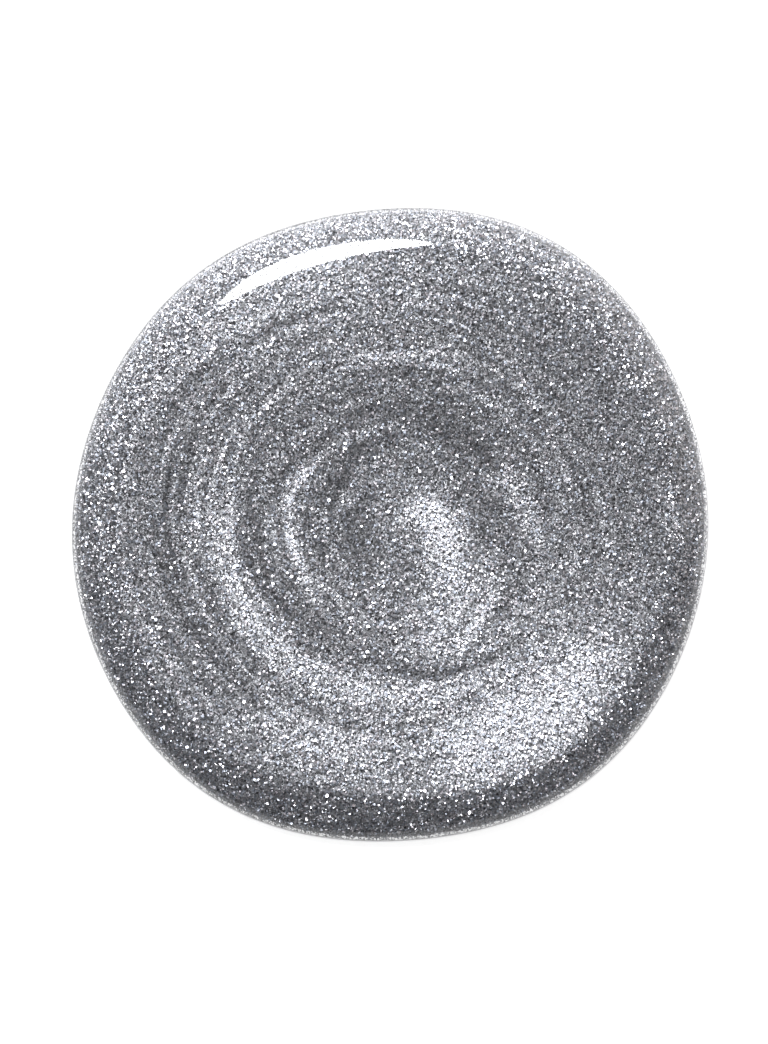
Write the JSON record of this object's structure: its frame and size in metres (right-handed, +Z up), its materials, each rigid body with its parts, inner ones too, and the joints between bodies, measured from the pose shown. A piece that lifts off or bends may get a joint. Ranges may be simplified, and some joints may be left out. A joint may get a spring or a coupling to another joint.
{
  "type": "glitter nail lacquer drop",
  "caption": "Round poured drop of silver glitter nail lacquer, with a level crown, a sloping shoulder, a clear rim and a flat underside.",
  "frame": {"origin": "middle of the drop's flat underside, at the middle of its bounding box", "axes": "+Z up out of the surface that the drop lies on; +X and +Y to the right and to the top of the drop as it is seen from above"},
  "size_m": [0.0278, 0.0278, 0.0019],
  "materials": {
    "pigmented_lacquer": "grey lacquer thick with aluminium pigment",
    "clear_lacquer": "clear, hard and glossy",
    "silver_foil": "bright metallised film"
  },
  "bodies": {
    "root": {"pigmented_lacquer": "pigmented_lacquer", "clear_lacquer": "clear_lacquer", "coarse_glitter_crown": "silver_foil", "medium_glitter_crown": "silver_foil", "fine_glitter_crown": "silver_foil", "coarse_glitter_shoulder": "silver_foil", "medium_glitter_shoulder": "silver_foil", "fine_glitter_shoulder": "silver_foil", "fine_glitter_rim": "silver_foil"}
  },
  "joints": []
}
